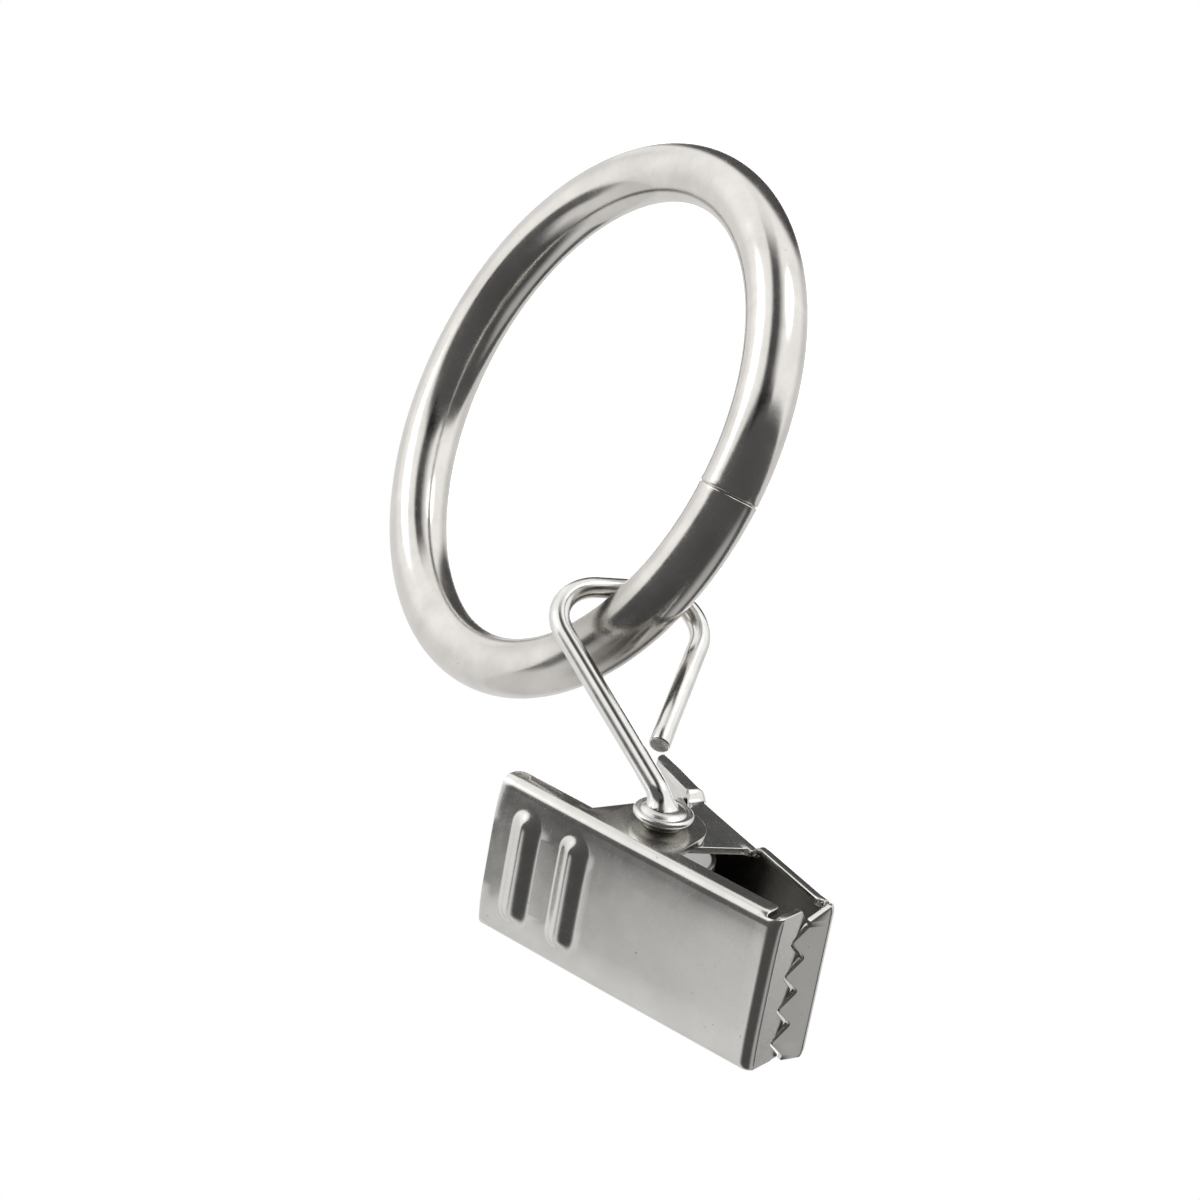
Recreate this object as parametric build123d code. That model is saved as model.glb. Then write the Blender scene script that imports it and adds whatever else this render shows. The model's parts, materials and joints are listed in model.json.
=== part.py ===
from build123d import *
from math import acos, atan2, cos, hypot, radians, sin, tan
import os

# Millimetres. The origin is the ring's centre, +Y the rod's direction through the ring, +Z up.

# Ring
ring_radius = 18.8          # to the middle of the ring's wire
ring_wire = 4.3
seam_angle = 47.5           # round the ring from its lowest point toward +X
seam_width = 0.12
seam_depth = 0.12

# Wire hook, before it is turned to where it hangs on the ring
hang_angle = 12.1           # from the ring's lowest point toward +X
hook_wire = 1.45
hook_seat = 0.04            # between the hook's bar and the ring
bar_yaw = 25.5
bar_slope = 1.3
bar_left = 6.31             # contact to the corner of the long leg
bar_right = 7.02            # contact to the corner of the short leg
corner_radius = 3.2
foot_drop = 17.67           # contact down to the bend at the foot of the long leg
foot_shift = 0.45
foot_radius = 2.1
short_leg = 14.8
short_leg_angle = 63.2      # between the bar and the short leg
head_diameter = 4.1
head_height = 0.75

# Clip sheet metal, in the clip's own frame: x along the pivot, y toward the thumb end, z out of the front
clip_width = 11.5
sheet = 0.5
fold_radius = 0.8
front_face = 4.15           # pivot axis to the front plate's outer face
thumb_end = 10.5
jaw_end = 12.7
side_depth = 1.75           # of the front plate's long side folds
corner_gap = 0.25           # between a side fold and the lip
teeth_level = 1.15          # where the two rows of teeth meet
tooth_pitch = 2.5
tooth_height = 1.2
tooth_gap = 0.1
ear_nose = 2.95
ear_thumb_side = 4.1
ear_jaw_side = 3.2
rib_length = 8.3
rib_width = 2.0
rib_rise = 0.45
rib_first = 2.8             # from the thumb end
rib_second = 6.9

# Back jaw, in a frame on its outer face with y along the plate and z into the clip
back_distance = 5.21        # pivot axis to the back plate's outer face
back_tilt = 19.3            # between the two plates
back_jaw_end = 12.38
back_fold_radius = 0.7
back_side_depth = 1.05      # of the side folds beside the jaw
tab_side_depth = 1.5        # of the side folds beside the thumb tab
back_ear_from = 3.8         # toward the jaw from the pivot
back_ear_to = 2.3
back_ear_nose = 2.0
back_joggle = 0.8           # length over which a side fold steps in to its ear
ear_clearance = 0.1
tab_bend = 2.6
tab_flare = 4.9
tab_length = 5.6
tab_corner = 0.7

# Hollow rivet
rivet_diameter = 2.5
rivet_seat = 0.02           # around the rivet in the front ears
rivet_clearance = 0.05      # around the rivet in the back ears
wire_clearance = 0.07       # around the wire in the rivet
bell_diameter = 4.1
collar_diameter = 3.5
bell_stand = 1.3
collar_thickness = 0.3
flange_diameter = 3.6
flange_thickness = 0.35
head_clearance = 0.1

# Spring
spring_sheet = 0.35
spring_width = 8.4
spring_seat = 0.03
spring_bend = 3.1           # to the middle of the strip
spring_middle = 1.1         # bend's centre, toward the jaw from the pivot
spring_front_reach = 7.0
spring_back_reach = 5.6     # along the back plate from the pivot

# How the clip hangs from the foot of the hook
clip_across = Vector(0.8083, -0.4181, 0.4146)
clip_outward = Vector(-0.1413, -0.8213, -0.5527)
foot_stand = 0.65           # bell mouth to the corner of the foot bend

half = clip_width / 2
wire_r = hook_wire / 2
rivet_r = rivet_diameter / 2
bore_r = wire_r + wire_clearance
inner_face = front_face - sheet
side_edge = front_face - side_depth
left_end = half + flange_thickness
rim = half + bell_stand
back_ear = half - sheet - ear_clearance
through = 4 * clip_width

contact = Vector(0, 0, -(ring_radius - ring_wire / 2 - wire_r - hook_seat))
foot = contact + Vector(0, foot_shift, -foot_drop)
across = clip_across.normalized()
pivot = foot - across * (rim + foot_stand)
hang = Location((0, 0, 0), (0, -hang_angle, 0))
clip_place = hang * Plane(origin=pivot, x_dir=clip_across, z_dir=clip_outward).location

tilt = radians(back_tilt)
back_place = Plane(
    origin=(0, -back_distance * sin(tilt), -back_distance * cos(tilt)),
    x_dir=(1, 0, 0),
    z_dir=(0, sin(tilt), cos(tilt)),
).location


def make_ring():
    body = Torus(ring_radius, ring_wire / 2, rotation=(90, 0, 0))
    turn = Location((0, 0, 0), (0, -seam_angle, 0))
    collar = Cylinder(ring_wire, seam_width, rotation=(0, 90, 0))
    collar -= Cylinder(ring_wire / 2 - seam_depth, 2 * seam_width, rotation=(0, 90, 0))
    return body - turn * Pos(0, 0, -ring_radius) * collar


def make_hook():
    yaw, slope = radians(bar_yaw), radians(bar_slope)
    bar = Vector(sin(yaw) * cos(slope), cos(yaw) * cos(slope), sin(slope))
    long_corner = contact - bar * bar_left
    short_corner = contact + bar * bar_right
    down = (foot - long_corner) - bar * (foot - long_corner).dot(bar)
    down = down.normalized()
    angle = radians(short_leg_angle)
    short_end = short_corner + (down * sin(angle) - bar * cos(angle)) * short_leg
    head_base = pivot - across * (left_end + head_clearance)
    path = Wire(trace(short_end, short_corner, long_corner, foot, head_base))
    section = Plane(origin=short_end, z_dir=(short_corner - short_end)) * Circle(wire_r)
    body = sweep(section, path=path)
    head_r = head_diameter / 2
    dome_r = (head_r ** 2 + (head_height - 0.2) ** 2) / (2 * (head_height - 0.2))
    profile = make_face([
        Line((0, 0), (head_r, 0)),
        Line((head_r, 0), (head_r, 0.2)),
        ThreePointArc((head_r, 0.2), (head_r / 2, head_height - dome_r + (dome_r ** 2 - head_r ** 2 / 4) ** 0.5),
                      (0, head_height)),
        Line((0, head_height), (0, 0)),
    ])
    head = revolve(Plane.XZ * profile, Axis.Z)
    head = Plane(origin=head_base, z_dir=-across).location * head
    return hang * (body + head)


def trace(*points):
    """Straight runs through the points with a round bend at each corner between."""
    radii = [corner_radius, corner_radius, foot_radius]
    edges = []
    start = points[0]
    for before, corner, after, radius in zip(points, points[1:], points[2:], radii):
        u = (before - corner).normalized()
        v = (after - corner).normalized()
        opening = radians(u.get_angle(v))
        reach = radius / tan(opening / 2)
        middle = (u + v).normalized()
        top = corner + middle * (radius / sin(opening / 2) - radius)
        edges.append(Line(start, corner + u * reach))
        edges.append(ThreePointArc(corner + u * reach, top, corner + v * reach))
        start = corner + v * reach
    edges.append(Line(start, points[-1]))
    return edges


def teeth(level, top):
    """The (x, z) outline of what stands beyond one row of teeth: above it, or below it."""
    count = int(half / tooth_pitch) + 2
    points = []
    for i in range(-2 * count, 2 * count + 1):
        swing = -1 if i % 2 == 0 else 1
        points.append((i * tooth_pitch / 2, level + swing * tooth_height / 2))
    far = level + (3 if top else -3) * tooth_height
    edge = FilletPolyline(*points, radius=0.15)
    close = Polyline(points[-1], (points[-1][0], far), (points[0][0], far), points[0])
    return make_face([*edge.edges(), *close.edges()])


def ear_side(centre, nose, low, high, base):
    """An ear's (y, z) outline: a round nose on straight edges down to the base points low and high."""
    y0, z0 = centre
    face = Pos(y0, z0) * Circle(nose)
    touch = []
    for y, turn in ((low, 1), (high, -1)):
        away = atan2(base - z0, y - y0)
        swing = acos(nose / hypot(y - y0, base - z0))
        turn = turn if base > z0 else -turn
        touch.append((y0 + nose * cos(away + turn * swing), z0 + nose * sin(away + turn * swing)))
    return face + make_face(Polyline((low, base), touch[0], centre, touch[1], (high, base), close=True))


def spread(face, x0, x1):
    """A flat (y, z) outline made solid from x0 to x1."""
    place = Plane(origin=(x0, 0, 0), x_dir=(0, 1, 0), z_dir=(1, 0, 0))
    return extrude(place * face, amount=x1 - x0)


def make_front_jaw():
    length = thumb_end + jaw_end
    middle = (thumb_end - jaw_end) / 2
    low = teeth_level - tooth_height
    skin = Pos(0, middle, (front_face + low) / 2) * Box(clip_width, length, front_face - low)
    skin = fillet(skin.faces().sort_by(Axis.Z)[-1].edges().filter_by(
        lambda e: e.center().Y < thumb_end - 0.1), fold_radius)
    room_end = thumb_end + jaw_end
    room = Pos(0, (room_end - jaw_end + sheet) / 2, (inner_face + low) / 2 - 1) * Box(
        clip_width - 2 * sheet, room_end + jaw_end - sheet, inner_face - low + 2)
    room = fillet(room.faces().sort_by(Axis.Z)[-1].edges().filter_by(
        lambda e: e.center().Y < thumb_end), fold_radius - sheet)
    shell = skin - room
    lip = Pos(0, -jaw_end + sheet / 2, (front_face + low) / 2) * Box(clip_width, sheet, 2 * front_face)
    walls = spread(Pos(middle + (sheet + corner_gap) / 2, (side_edge + front_face) / 2) * Rectangle(
        length - sheet - corner_gap, side_depth), -half, half)
    walls = fillet(walls.edges().filter_by(Axis.X).sort_by(Axis.Z)[:2].sort_by(Axis.Y)[-1:], fold_radius)
    walls += spread(ear_side((0, 0), ear_nose, -ear_jaw_side, ear_thumb_side, side_edge + 0.3), -half, half)
    plate = Pos(0, middle, front_face) * Box(clip_width, length, 2 * (sheet + 0.35))
    ears = spread(ear_side((0, 0), ear_nose, -ear_jaw_side, ear_thumb_side, side_edge + 0.3), -half, half)
    ears = ears - Box(clip_width - 2 * sheet, through, through)
    body = shell & (lip + walls + plate)
    body += ears
    edge = Plane(origin=(0, -jaw_end - 1, 0), x_dir=(1, 0, 0), z_dir=(0, -1, 0))
    cutter = extrude(edge * teeth(teeth_level + tooth_gap / 2, False), amount=-(1 + 2 * sheet))
    body -= cutter
    rib_r = (rib_width ** 2 / 4 + rib_rise ** 2) / (2 * rib_rise)
    for back in (rib_first, rib_second):
        y = thumb_end - back
        z = front_face + rib_rise - rib_r
        bump = capsule(rib_r, rib_length - rib_width, y, z) & (
            Pos(0, y, front_face + rib_rise - 0.1) * Box(rib_length, 2 * rib_width, 2 * rib_rise))
        body = (body + bump) - capsule(rib_r - sheet, rib_length - rib_width, y, z)
    return body - spread(Circle(rivet_r + rivet_seat), -through, through)


def capsule(radius, length, y, z):
    rod = spread(Pos(y, z) * Circle(radius), -length / 2, length / 2)
    return rod + Pos(-length / 2, y, z) * Sphere(radius) + Pos(length / 2, y, z) * Sphere(radius)


def trough(plan, depth):
    """A blank folded up all round: outer outline of (x, y) points, floor at z 0."""
    rows = [(-x, y) for x, y in plan[::-1]]
    outer = extrude(make_face(Polyline(*plan, *rows, close=True)), amount=depth)
    return fillet(outer.faces().sort_by(Axis.Z)[0].edges().filter_by(
        lambda e: abs(e.center().X) > 1), back_fold_radius)


def make_back_jaw():
    low, high = -back_ear_from - back_joggle, back_ear_to + back_joggle
    far = -back_jaw_end
    steps = [(half, low), (back_ear, low + back_joggle), (back_ear, high - back_joggle), (half, high)]
    plan = [(half, far), *steps, (half, 2 * tab_length)]
    inside = [(x - sheet, y) for x, y in plan]
    inside[0] = (half - sheet, far - 1)
    deep = 2 * back_distance
    rows = [(-x, y) for x, y in inside[::-1]]
    room = Pos(0, 0, sheet) * extrude(make_face(Polyline(*inside, *rows, close=True)), amount=deep)
    channel = trough(plan, deep) - room
    hinge = Pos(0, tab_bend, 0) * Location((0, 0, 0), (-tab_flare, 0, 0)) * Pos(0, -tab_bend, 0)
    tab_zone = Pos(0, tab_bend + tab_length / 2, tab_side_depth / 2) * Box(clip_width, tab_length, tab_side_depth)
    tab_zone = fillet(tab_zone.edges().filter_by(Axis.Z).sort_by(Axis.Y)[-2:], tab_corner)
    tab_zone = fillet(tab_zone.edges().filter_by(Axis.X).sort_by(Axis.Y)[-2:].sort_by(Axis.Z)[-1:], tab_corner)
    tab = hinge * (channel & tab_zone)
    outline = ear_side((0, back_distance), back_ear_nose, -back_ear_from + 0.05, back_ear_to + 0.3, sheet)
    start = far + sheet + corner_gap
    folds = make_face(Polyline(
        (start, 0), (tab_bend + 0.2, 0), (tab_bend, tab_side_depth), (0, tab_side_depth), (-back_ear_from, tab_side_depth),
        (low, back_side_depth), (start, back_side_depth), close=True))
    floor = make_face(Polyline((far, 0), (tab_bend + 0.02, 0), (tab_bend + 0.02, sheet), (far, sheet), close=True))
    body = (channel & spread(outline + folds + floor, -half, half)) + tab
    height = (teeth_level - tooth_gap / 2 + back_distance * cos(tilt) - back_jaw_end * sin(tilt)) / cos(tilt)
    body += Pos(0, far + sheet / 2, height) * Box(clip_width, sheet, 2 * height)
    body -= Pos(0, far, 0) * (Box(through, 2 * sheet, 2 * sheet) - Pos(0, sheet, sheet) * Cylinder(sheet, through, rotation=(0, 90, 0)))
    edge = Plane(origin=(0, far - 1, 0), x_dir=(1, 0, 0), z_dir=(0, -1, 0))
    body -= extrude(edge * teeth(height, True), amount=-(1 + 2 * sheet))
    body -= spread(Pos(0, back_distance) * Circle(rivet_r + rivet_clearance), -through, through)
    return back_place * body


def make_rivet():
    bell_r = bell_diameter / 2
    collar_r = collar_diameter / 2
    flange_r = flange_diameter / 2
    collar = half + rivet_seat + collar_thickness
    edges = [
        Line((-left_end, bore_r), (-left_end, flange_r - 0.15)),
        ThreePointArc((-left_end, flange_r - 0.15), (-left_end + 0.04, flange_r - 0.04), (-left_end + 0.15, flange_r)),
        Polyline((-left_end + 0.15, flange_r), (-half - rivet_seat, flange_r), (-half - rivet_seat, rivet_r),
                 (half + rivet_seat, rivet_r), (half + rivet_seat, collar_r), (collar - 0.1, collar_r),
                 (collar, collar_r - 0.1), (collar, rivet_r - 0.05)),
        ThreePointArc((collar, rivet_r - 0.05), ((collar + rim) / 2, (rivet_r + bell_r) / 2 - 0.2), (rim - 0.15, bell_r)),
        ThreePointArc((rim - 0.15, bell_r), (rim - 0.02, bell_r - 0.04), (rim, bell_r - 0.15)),
        ThreePointArc((rim, bell_r - 0.15), ((collar + rim) / 2 + 0.1, (bore_r + bell_r) / 2 - 0.12), (collar, bore_r)),
        Line((collar, bore_r), (-left_end, bore_r)),
    ]
    profile = make_face([e for line in edges for e in line.edges()])
    return revolve(profile, Axis.X)


def make_spring():
    t = spring_sheet / 2
    r = spring_bend
    centre = Vector(-spring_middle, inner_face - spring_seat - t - r)
    along = Vector(cos(tilt), -sin(tilt))
    inward = Vector(sin(tilt), cos(tilt))
    lift = sheet + spring_seat - (spring_back_reach - tab_bend) * tan(radians(tab_flare))
    end = inward * (lift - back_distance) + along * spring_back_reach
    reach = end - centre
    away = atan2(reach.Y, reach.X)
    swing = acos((r + t) / reach.length)
    angle = away - swing
    arm = Vector(-sin(angle), cos(angle))
    run = reach.dot(arm)

    def at(radius, a):
        return centre + Vector(cos(a), sin(a)) * radius

    top = radians(90)
    halfway = (top + angle + radians(360)) / 2
    edges = []
    for radius in (r - t, r + t):
        start = Vector(spring_front_reach, centre.Y + radius)
        finish = at(radius, angle) + arm * run
        edges += [
            Line(start, at(radius, top)),
            ThreePointArc(at(radius, top), at(radius, halfway), at(radius, angle)),
            Line(at(radius, angle), finish),
        ]
    edges.append(Line((spring_front_reach, centre.Y + r - t), (spring_front_reach, centre.Y + r + t)))
    edges.append(Line(at(r - t, angle) + arm * run, at(r + t, angle) + arm * run))
    return spread(make_face(edges), -spring_width / 2, spring_width / 2)


os.makedirs("parts", exist_ok=True)
pieces = {
    "ring": make_ring(),
    "wire_hook": make_hook(),
    "front_jaw": clip_place * make_front_jaw(),
    "back_jaw": clip_place * make_back_jaw(),
    "pivot_rivet": clip_place * make_rivet(),
    "spring": clip_place * make_spring(),
}
for name, piece in pieces.items():
    solids = piece.solids()
    print(name, len(solids), round(piece.volume, 2), piece.is_valid)
    export_step(piece, f"parts/{name}.step")
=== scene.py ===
import bpy, bmesh, json, math
from mathutils import Matrix, Vector, noise


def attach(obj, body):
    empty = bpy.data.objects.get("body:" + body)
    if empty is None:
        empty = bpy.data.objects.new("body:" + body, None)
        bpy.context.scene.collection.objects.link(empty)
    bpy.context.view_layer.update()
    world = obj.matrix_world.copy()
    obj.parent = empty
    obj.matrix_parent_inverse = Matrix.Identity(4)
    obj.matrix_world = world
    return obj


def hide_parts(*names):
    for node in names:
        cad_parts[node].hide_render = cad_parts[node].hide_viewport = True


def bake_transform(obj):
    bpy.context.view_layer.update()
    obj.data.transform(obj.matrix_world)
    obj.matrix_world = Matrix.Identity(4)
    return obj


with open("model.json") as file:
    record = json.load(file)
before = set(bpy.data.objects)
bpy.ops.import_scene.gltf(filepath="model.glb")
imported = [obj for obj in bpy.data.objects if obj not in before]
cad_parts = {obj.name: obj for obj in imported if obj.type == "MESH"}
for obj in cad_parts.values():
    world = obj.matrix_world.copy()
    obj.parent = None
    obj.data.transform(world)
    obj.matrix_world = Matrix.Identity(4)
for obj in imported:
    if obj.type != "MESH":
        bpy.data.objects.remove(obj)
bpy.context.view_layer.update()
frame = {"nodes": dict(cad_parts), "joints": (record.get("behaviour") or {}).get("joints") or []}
joints = {j["name"]: j for j in frame["joints"]}
mm = 0.001                       # pieces are shaped in millimetres and set down in metres
print("frame loaded:", sorted(frame["nodes"]))


# clip's own frame: x along the rivet, y toward the thumb end, z out of the front jaw
pivotSpot = Vector(joints["jaw_open"]["pos_m"])
clipAcross = Vector(joints["jaw_open"]["axis"]).normalized()
clipUp = Vector((-0.0223, -0.82131, -0.57005)).cross(clipAcross).normalized()
clipOut = clipAcross.cross(clipUp)
clipTurn = Matrix((clipAcross, clipUp, clipOut)).transposed().to_4x4()
clipPlace = Matrix.Translation(pivotSpot) @ clipTurn @ Matrix.Scale(mm, 4)
ringPlace = Matrix.Scale(mm, 4)
hair = 1e-5                      # millimetres: a cut this near a vertex goes through it


# points round a circle, from one angle to the other
def arc(centre, radius, start, end, steps):
    turns = [math.radians(start + (end - start) * i / steps) for i in range(steps + 1)]
    return [(centre[0] + radius * math.cos(a), centre[1] + radius * math.sin(a)) for a in turns]


# angle in degrees at which a straight edge from spot meets the circle
def tangent(spot, centre, radius, side):
    dx, dy = spot[0] - centre[0], spot[1] - centre[1]
    return math.degrees(math.atan2(dy, dx) + side * math.acos(radius / math.hypot(dx, dy)))


def cutAt(bm, spot, normal):
    bmesh.ops.bisect_plane(bm, geom=bm.verts[:] + bm.edges[:] + bm.faces[:], dist=hair,
                           plane_co=spot, plane_no=normal)


# a flat blank: outlines in the plane, given thickness, its edges broken, then scored where it bends
def cutSheet(outlines, thick, edgeRound, acrossLines, alongLines):
    bm = bmesh.new()
    for outline in outlines:
        bm.faces.new([bm.verts.new((u, v, 0)) for u, v in outline])
    bmesh.ops.remove_doubles(bm, verts=bm.verts, dist=0.002)
    bmesh.ops.recalc_face_normals(bm, faces=bm.faces)
    if bm.faces[:][0].normal.z < 0:
        bmesh.ops.reverse_faces(bm, faces=bm.faces)
    grown = bmesh.ops.extrude_face_region(bm, geom=bm.faces[:])
    lower = [g for g in grown["geom"] if isinstance(g, bmesh.types.BMVert)]
    bmesh.ops.translate(bm, vec=(0, 0, -thick), verts=lower)
    bmesh.ops.recalc_face_normals(bm, faces=bm.faces)
    rim = [e for e in bm.edges if abs(e.verts[0].co.z - e.verts[1].co.z) < hair and len(e.link_faces) == 2
           and e.calc_face_angle(0) > 1.0]
    bmesh.ops.bevel(bm, geom=rim, offset=edgeRound, offset_type="OFFSET", segments=2, profile=0.5,
                    affect="EDGES", clamp_overlap=False, material=-1)
    for u in acrossLines:
        cutAt(bm, (u, 0, 0), (1, 0, 0))
    for v in alongLines:
        cutAt(bm, (0, v, 0), (0, 1, 0))
    return bm


# the shaped mesh becomes a piece that stands for its CAD node and rides on its body. flatWay is where its flat
# shaded faces look, lining a second finish with where its faces look. When bendsTo is given the piece rides on no
# body and its place is baked into the mesh; the body and the spots in bendsTo are not used
def setDown(bm, name, body, node, place, finish, flatWay=None, lining=None, bendsTo=None):
    flatLimit, liningLimit = 0.9998, 0.6
    bm.normal_update()
    for face in bm.faces:
        face.smooth = not (flatWay and face.normal.dot(flatWay) > flatLimit)
        face.material_index = 1 if lining and face.normal.dot(lining[1]) > liningLimit else 0
    bmesh.ops.transform(bm, matrix=place, verts=bm.verts)
    mesh = bpy.data.meshes.new(name)
    bm.to_mesh(mesh)
    bm.free()
    piece = bpy.data.objects.new(name, mesh)
    bpy.context.scene.collection.objects.link(piece)
    mesh.materials.append(finish)
    if lining:
        mesh.materials.append(lining[0])
    shade = piece.modifiers.new("evenShade", "WEIGHTED_NORMAL")
    shade.mode, shade.weight, shade.keep_sharp = "FACE_AREA", 80, True
    if bendsTo:
        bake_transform(piece)
    else:
        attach(piece, body)
    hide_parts(node)
    print("piece", name, len(mesh.polygons), "faces")
    return piece


# materials
def freshMaterial(name):
    material = bpy.data.materials.new(name)
    material.use_nodes = True
    return material, material.node_tree, material.node_tree.nodes["Principled BSDF"]


# one node; links are (input name, output socket), values are its settings or inputs
def addNode(tree, kind, links=(), **values):
    node = tree.nodes.new(kind)
    for key, value in values.items():
        if hasattr(node, key):
            setattr(node, key, value)
        else:
            node.inputs[key.replace("_", " ")].default_value = value
    for name, socket in links:
        tree.links.new(socket, node.inputs[name])
    return node


# object coordinates in millimetres, turned and stretched for a pattern that runs one way
def inMillimetres(tree, turn=(0, 0, 0), stretch=(1, 1, 1)):
    spot = addNode(tree, "ShaderNodeTexCoord")
    turned = addNode(tree, "ShaderNodeMapping", [("Vector", spot.outputs["Object"])], Rotation=turn)
    return addNode(tree, "ShaderNodeMapping", [("Vector", turned.outputs[0])],
                   Scale=[way / mm for way in stretch]).outputs[0]


# source from low to high becomes dark to light, and stays there outside
def ramp(tree, source, low, high, dark, light):
    node = addNode(tree, "ShaderNodeMapRange", [("Value", source)])
    for key, value in (("From Min", low), ("From Max", high), ("To Min", dark), ("To Max", light)):
        node.inputs[key].default_value = value
    return node.outputs["Result"]


def combine(tree, operation, first, second):
    return addNode(tree, "ShaderNodeMath", [(0, first), (1, second)], operation=operation).outputs[0]


# a vector and a fixed one
def vectorWith(tree, operation, source, fixed, output="Value"):
    node = addNode(tree, "ShaderNodeVectorMath", [(0, source)], operation=operation)
    node.inputs[1].default_value = fixed
    return node.outputs[output]


def scaleAdd(tree, source, factor, base):
    node = addNode(tree, "ShaderNodeMath", [(0, source), (2, base)], operation="MULTIPLY_ADD")
    node.inputs[1].default_value = factor
    return node.outputs[0]


def overlay(tree, share, under, tint):
    node = addNode(tree, "ShaderNodeMix", [("Factor", share), (6, under)], data_type="RGBA")
    node.inputs[7].default_value = (*tint, 1)
    return node.outputs[2]


nickelLook = {
    "ring": {"tint": (0.74, 0.715, 0.68), "rough": (0.11, 0.20), "cloud": 0.35, "grain": 9.0, "bump": 0.05},
    "hook": {"tint": (0.80, 0.79, 0.765), "rough": (0.10, 0.19), "cloud": 0.6, "grain": 14.0, "bump": 0.035},
    "plate": {"tint": (0.76, 0.748, 0.715), "rough": (0.13, 0.22), "cloud": 0.28, "grain": 11.0, "bump": 0.045},
    "rivet": {"tint": (0.80, 0.785, 0.755), "rough": (0.20, 0.30), "cloud": 0.7, "grain": 14.0, "bump": 0.04},
    "lining": {"tint": (0.66, 0.645, 0.615), "rough": (0.42, 0.55), "cloud": 0.5, "grain": 9.0, "bump": 0.10},
    "spring": {"tint": (0.50, 0.495, 0.485), "rough": (0.28, 0.42), "cloud": 0.4, "grain": 7.0, "bump": 0.09},
}


# what all the finishes share: ranges of the noise, and what it does to colour and gloss
wear = {
    "cloudFrom": 0.32, "cloudTo": 0.70, "darkShare": 0.90, "lightShare": 1.06, "glossFrom": 0.3, "glossTo": 0.7,
    "grainFrom": 0.35, "grainTo": 0.65, "grainSmooth": -0.025, "grainRough": 0.03, "grainDepth": 0.00005,
    "pitScale": 1.15, "pitCore": 0.05, "pitEdge": 0.11, "pitTint": (0.30, 0.28, 0.25), "pitDull": 0.25,
    "patchScale": 0.9, "patchFrom": 0.5, "patchTo": 0.62,
    "scuffLeans": (0.5, 1.7, 2.6), "scuffStretch": (0.35, 9.0, 9.0), "scuffScale": 1.6,
    "scuffFrom": 0.66, "scuffTo": 0.72,
}


# plated steel: cloudy colour, uneven gloss, fine grain, a few pits, hair scratches and a darker, duller patch
# round a point
def nickelFinish(name, look, turn=(0, 0, 0), stretch=(1, 1, 1), pits=0.0, scuffs=0.0, darkPatch=None, shine=1.0):
    material, tree, metal = freshMaterial(name)
    metal.inputs["Metallic"].default_value = shine
    plain = inMillimetres(tree)
    along = inMillimetres(tree, turn, stretch)
    cloud = addNode(tree, "ShaderNodeTexNoise", [("Vector", plain)], Scale=look["cloud"], Detail=5.0,
                    Roughness=0.6).outputs[0]
    grain = addNode(tree, "ShaderNodeTexNoise", [("Vector", along)], Scale=look["grain"], Detail=4.0,
                    Roughness=0.65).outputs[0]
    colour = addNode(tree, "ShaderNodeValToRGB", [("Fac", cloud)])
    dark, light = colour.color_ramp.elements
    dark.position, light.position = wear["cloudFrom"], wear["cloudTo"]
    dark.color = [c * wear["darkShare"] for c in look["tint"]] + [1]
    light.color = [min(1, c * wear["lightShare"]) for c in look["tint"]] + [1]
    skin = colour.outputs[0]
    gloss = combine(tree, "ADD", ramp(tree, cloud, wear["glossFrom"], wear["glossTo"], *look["rough"]),
                    ramp(tree, grain, wear["grainFrom"], wear["grainTo"], wear["grainSmooth"], wear["grainRough"]))
    if pits:
        cells = addNode(tree, "ShaderNodeTexVoronoi", [("Vector", plain)], Scale=wear["pitScale"], Randomness=1.0)
        where = addNode(tree, "ShaderNodeTexNoise", [("Vector", plain)], Scale=wear["patchScale"], Detail=2.0)
        spots = combine(tree, "MULTIPLY",
                        ramp(tree, cells.outputs["Distance"], wear["pitCore"], wear["pitEdge"], 1.0, 0.0),
                        ramp(tree, where.outputs[0], wear["patchFrom"], wear["patchTo"], 0.0, 1.0))
        skin = overlay(tree, ramp(tree, spots, 0.0, 1.0, 0.0, pits), skin, wear["pitTint"])
        gloss = scaleAdd(tree, spots, wear["pitDull"], gloss)
    if scuffs:
        lines = []
        for lean in wear["scuffLeans"]:
            run = inMillimetres(tree, (lean, 0.4 * lean, lean), wear["scuffStretch"])
            streak = addNode(tree, "ShaderNodeTexNoise", [("Vector", run)], Scale=wear["scuffScale"], Detail=2.0)
            lines.append(ramp(tree, streak.outputs[0], wear["scuffFrom"], wear["scuffTo"], 0.0, 1.0))
        gloss = scaleAdd(tree, combine(tree, "MAXIMUM", combine(tree, "MAXIMUM", lines[0], lines[1]), lines[2]),
                         scuffs, gloss)
    if darkPatch:                        # a darker, duller patch round a point; on the ear it is painted shadow
        away = vectorWith(tree, "DISTANCE", plain, darkPatch["at"])
        ragged = scaleAdd(tree, grain, darkPatch["ragged"], away)
        share = ramp(tree, ragged, darkPatch["inner"], darkPatch["outer"], darkPatch["share"], 0.0)
        skin = overlay(tree, share, skin, darkPatch["tint"])
        gloss = scaleAdd(tree, share, darkPatch["dull"], gloss)
    tree.links.new(skin, metal.inputs["Base Color"])
    tree.links.new(gloss, metal.inputs["Roughness"])
    bump = addNode(tree, "ShaderNodeBump", [("Height", grain)], Strength=look["bump"],
                   Distance=wear["grainDepth"])
    tree.links.new(bump.outputs[0], metal.inputs["Normal"])
    return material
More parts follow.
